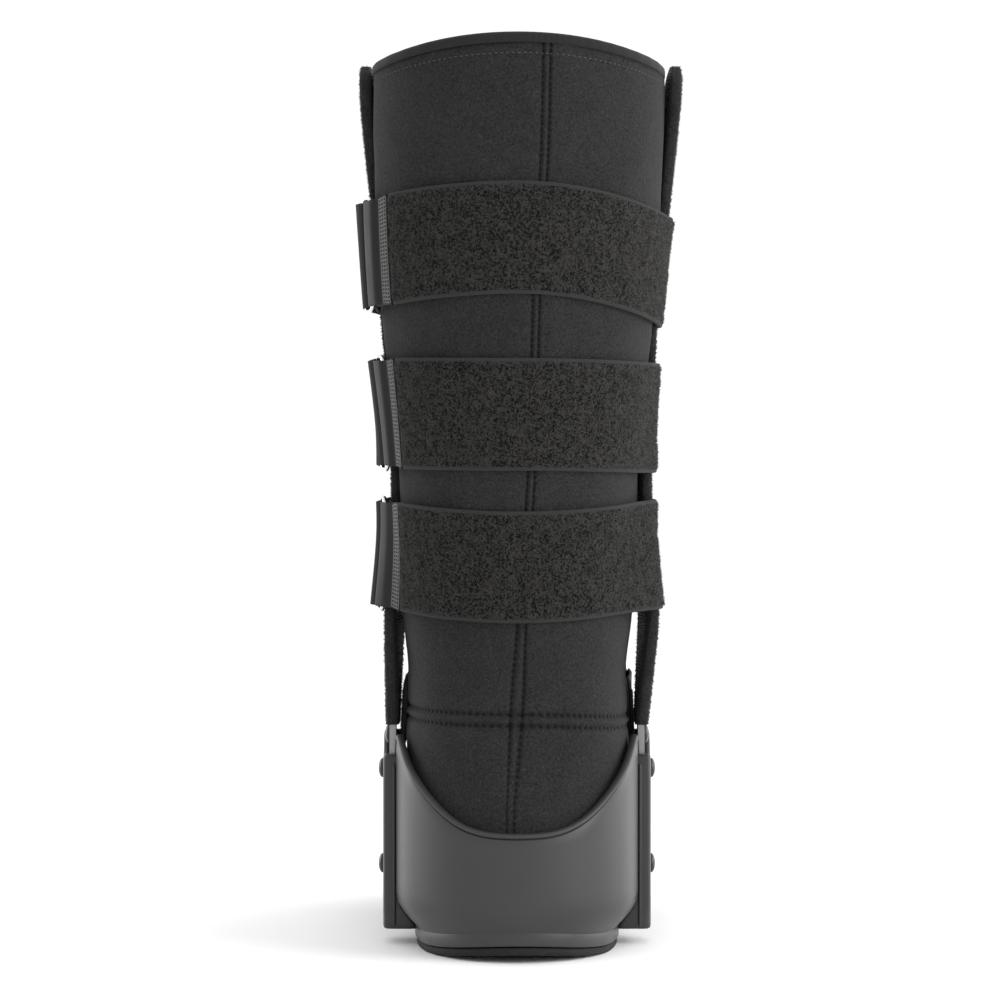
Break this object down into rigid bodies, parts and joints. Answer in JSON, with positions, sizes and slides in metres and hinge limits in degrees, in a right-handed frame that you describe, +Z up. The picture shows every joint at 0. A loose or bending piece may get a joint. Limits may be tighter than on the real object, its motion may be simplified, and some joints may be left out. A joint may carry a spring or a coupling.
{
  "type": "medical walking boot",
  "caption": "Tall fixed-ankle walking boot: padded liner, two side uprights in fabric sleeves, pile straps with metal loops, moulded heel shell and a thin rocker sole.",
  "frame": {"origin": "On the flat underside of the sole, straight under the axis of the leg.", "axes": "+Z up along the leg, +Y towards the toe, +X to the right as seen from behind the heel."},
  "size_m": [0.1512, 0.2775, 0.4123],
  "materials": {
    "sole_rubber": "matt black rubber",
    "shell_plastic": "satin dark grey moulded plastic",
    "bar_aluminium": "bare rolled aluminium bar",
    "sleeve_plush": "brushed black pile fabric",
    "liner_foam": "black knit laminated to foam",
    "binding_tape": "black folded knit binding",
    "strap_pile": "black looped pile with smooth bound edges",
    "loop_webbing": "smooth black webbing with welded end",
    "ring_steel": "bright plated wire",
    "rivet_black": "black domed rivet"
  },
  "bodies": {
    "root": {"outsole": "sole_rubber", "shell": "shell_plastic", "upright_left": "bar_aluminium", "upright_right": "bar_aluminium", "sleeve_left": "sleeve_plush", "sleeve_right": "sleeve_plush", "liner": "liner_foam", "front_flap": "liner_foam", "top_binding": "binding_tape", "calf_strap_upper": "strap_pile", "calf_strap_middle": "strap_pile", "calf_strap_lower": "strap_pile", "ankle_strap": "strap_pile", "forefoot_strap": "strap_pile", "chafe_upper": "loop_webbing", "chafe_middle": "loop_webbing", "chafe_lower": "loop_webbing", "chafe_ankle": "loop_webbing", "chafe_forefoot": "loop_webbing", "ring_upper": "ring_steel", "ring_middle": "ring_steel", "ring_lower": "ring_steel", "ring_ankle": "ring_steel", "ring_forefoot": "ring_steel", "rivet_low_left": "rivet_black", "rivet_high_left": "rivet_black", "rivet_ankle_left": "rivet_black", "rivet_forefoot_left": "rivet_black", "rivet_low_right": "rivet_black", "rivet_high_right": "rivet_black", "rivet_ankle_right": "rivet_black", "rivet_forefoot_right": "rivet_black"}
  },
  "joints": []
}
